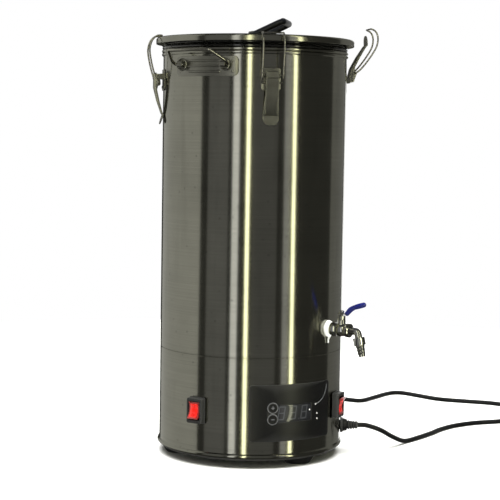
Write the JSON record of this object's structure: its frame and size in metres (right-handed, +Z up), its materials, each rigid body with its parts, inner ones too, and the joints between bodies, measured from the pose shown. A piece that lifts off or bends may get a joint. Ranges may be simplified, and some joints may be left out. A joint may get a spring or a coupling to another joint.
{
  "type": "brew kettle",
  "caption": "Electric brew kettle: tall steel vessel on a heated base with a front panel, clamped lid, carrying handles, drain tap and mains lead.",
  "frame": {"origin": "on the table, at the middle of the bounding box's base, the cord left out", "axes": "+Z up; the control panel faces -Y; +X is to the right of someone facing the panel"},
  "size_m": [0.8372, 0.6105, 0.7122],
  "materials": {
    "shell_steel": "brushed round the kettle, slightly olive grey",
    "wire_steel": "bright drawn wire and strip",
    "element_aluminium": "cast, matt",
    "probe_steel": "turned",
    "black_moulding": "moulded, satin",
    "foot_rubber": "matt",
    "seal_rubber": "matt silicone",
    "cord_sheath": "satin sheath",
    "panel_gloss": "glossy film on a moulding",
    "smoked_window": "smoked, polished",
    "red_rocker": "translucent, glossy",
    "tap_chrome": "polished",
    "lever_steel": "pressed strip",
    "sleeve_vinyl": "dipped vinyl",
    "thread_tape": "soft white tape",
    "board_laminate": "coated laminate"
  },
  "bodies": {
    "kettle": {"base_pan": "black_moulding", "base_shroud": "shell_steel", "control_board": "board_laminate", "cord_gland": "black_moulding", "display_window": "smoked_window", "foot_front": "foot_rubber", "foot_left": "foot_rubber", "foot_right": "foot_rubber", "handle_plate_left": "shell_steel", "handle_plate_right": "shell_steel", "heating_element": "element_aluminium", "hose_barb": "tap_chrome", "kettle_vessel": "shell_steel", "latch_bracket_back": "shell_steel", "latch_bracket_front": "shell_steel", "latch_bracket_left": "shell_steel", "latch_bracket_right": "shell_steel", "latch_pin_back": "wire_steel", "latch_pin_front": "wire_steel", "latch_pin_left": "wire_steel", "latch_pin_right": "wire_steel", "mains_cord": "cord_sheath", "mains_plug": "black_moulding", "panel_fascia": "panel_gloss", "switch_case_left": "black_moulding", "switch_case_right": "black_moulding", "tap_backnut": "tap_chrome", "tap_body": "tap_chrome", "tap_elbow": "tap_chrome", "tap_packing_nut": "tap_chrome", "tap_sealing_tape": "thread_tape", "temperature_sensor": "probe_steel", "thermal_cutout": "black_moulding"},
    "lid": {"lid_shell": "shell_steel", "lid_seal": "seal_rubber", "lid_handle_mount": "black_moulding"},
    "lid_grip": {"lid_handle": "black_moulding"},
    "tap_turn": {"tap_ball": "tap_chrome", "tap_lever": "lever_steel", "tap_lever_sleeve": "sleeve_vinyl", "tap_lever_nut": "tap_chrome"},
    "plus_key": {"button_plus": "panel_gloss"},
    "minus_key": {"button_minus": "panel_gloss"},
    "rocker_left": {"switch_rocker_left": "red_rocker"},
    "rocker_right": {"switch_rocker_right": "red_rocker"},
    "bail_left": {"carry_handle_left": "wire_steel"},
    "bail_right": {"carry_handle_right": "wire_steel"},
    "lever_front": {"latch_lever_front": "wire_steel"},
    "wire_front": {"latch_wire_front": "wire_steel"},
    "lever_right": {"latch_lever_right": "wire_steel"},
    "wire_right": {"latch_wire_right": "wire_steel"},
    "lever_back": {"latch_lever_back": "wire_steel"},
    "wire_back": {"latch_wire_back": "wire_steel"},
    "lever_left": {"latch_lever_left": "wire_steel"},
    "wire_left": {"latch_wire_left": "wire_steel"}
  },
  "joints": [
    {"name": "lid_lift", "type": "slide", "parent": "kettle", "child": "lid", "axis": [0, 0, 1], "range_m": [0, 0.15]},
    {"name": "lid_handle_fold", "type": "hinge", "parent": "lid", "child": "lid_grip", "pos_m": [-0.005, 0.016, 0.6838], "axis": [-0.6157, -0.788, 0], "range_deg": [-25, 60]},
    {"name": "tap_lever_turn", "type": "hinge", "parent": "kettle", "child": "tap_turn", "pos_m": [0.0749, -0.14082, 0.217], "axis": [0, 0, 1], "range_deg": [0, 90]},
    {"name": "button_plus_press", "type": "slide", "parent": "kettle", "child": "plus_key", "axis": [0.2436, 0.9699, 0], "range_m": [0, 0.0008], "stiffness_N_per_m": 1200, "springref_m": -0.0004},
    {"name": "button_minus_press", "type": "slide", "parent": "kettle", "child": "minus_key", "axis": [0.2436, 0.9699, 0], "range_m": [0, 0.0008], "stiffness_N_per_m": 1200, "springref_m": -0.0004},
    {"name": "switch_left_rock", "type": "hinge", "parent": "kettle", "child": "rocker_left", "pos_m": [-0.14406, -0.06109, 0.089], "axis": [-0.4848, 0.8746, 0], "range_deg": [-22, 0]},
    {"name": "switch_right_rock", "type": "hinge", "parent": "kettle", "child": "rocker_right", "pos_m": [0.09506, -0.10757, 0.089], "axis": [-0.7771, -0.6293, 0], "range_deg": [0, 22]},
    {"name": "carry_handle_left_swing", "type": "hinge", "parent": "kettle", "child": "bail_left", "pos_m": [-0.14053, -0.06225, 0.6325], "axis": [-0.5, 0.866, 0], "range_deg": [-115, 42]},
    {"name": "carry_handle_right_swing", "type": "hinge", "parent": "kettle", "child": "bail_right", "pos_m": [0.13053, 0.09425, 0.6325], "axis": [0.5, -0.866, 0], "range_deg": [-115, 42]},
    {"name": "latch_front_lever", "type": "hinge", "parent": "kettle", "child": "lever_front", "pos_m": [-0.05609, -0.13668, 0.6165], "axis": [-0.9483, 0.3173, 0], "range_deg": [0, 166]},
    {"name": "latch_front_wire", "type": "hinge", "parent": "lever_front", "child": "wire_front", "pos_m": [-0.05561, -0.13526, 0.6045], "axis": [-0.9483, 0.3173, 0], "range_deg": [-190, 1]},
    {"name": "latch_right_lever", "type": "hinge", "parent": "kettle", "child": "lever_right", "pos_m": [0.14768, -0.03509, 0.6165], "axis": [-0.3173, -0.9483, 0], "range_deg": [-166, 0]},
    {"name": "latch_right_wire", "type": "hinge", "parent": "lever_right", "child": "wire_right", "pos_m": [0.15181, -0.03647, 0.62778], "axis": [-0.3173, -0.9483, 0], "range_deg": [-1, 190]},
    {"name": "latch_back_lever", "type": "hinge", "parent": "kettle", "child": "lever_back", "pos_m": [0.04609, 0.16868, 0.6165], "axis": [0.9483, -0.3173, 0], "range_deg": [0, 166]},
    {"name": "latch_back_wire", "type": "hinge", "parent": "lever_back", "child": "wire_back", "pos_m": [0.04561, 0.16726, 0.6045], "axis": [0.9483, -0.3173, 0], "range_deg": [-190, 1]},
    {"name": "latch_left_lever", "type": "hinge", "parent": "kettle", "child": "lever_left", "pos_m": [-0.15768, 0.06709, 0.6165], "axis": [0.3173, 0.9483, 0], "range_deg": [0, 166]},
    {"name": "latch_left_wire", "type": "hinge", "parent": "lever_left", "child": "wire_left", "pos_m": [-0.15626, 0.06661, 0.6045], "axis": [0.3173, 0.9483, 0], "range_deg": [-190, 1]}
  ],
  "couplings": [
    {"joint": "latch_front_wire", "follows": "latch_front_lever", "ratio": -1.1325},
    {"joint": "latch_right_wire", "follows": "latch_right_lever", "ratio": -1.1325},
    {"joint": "latch_back_wire", "follows": "latch_back_lever", "ratio": -1.1325},
    {"joint": "latch_left_wire", "follows": "latch_left_lever", "ratio": -1.1325}
  ]
}
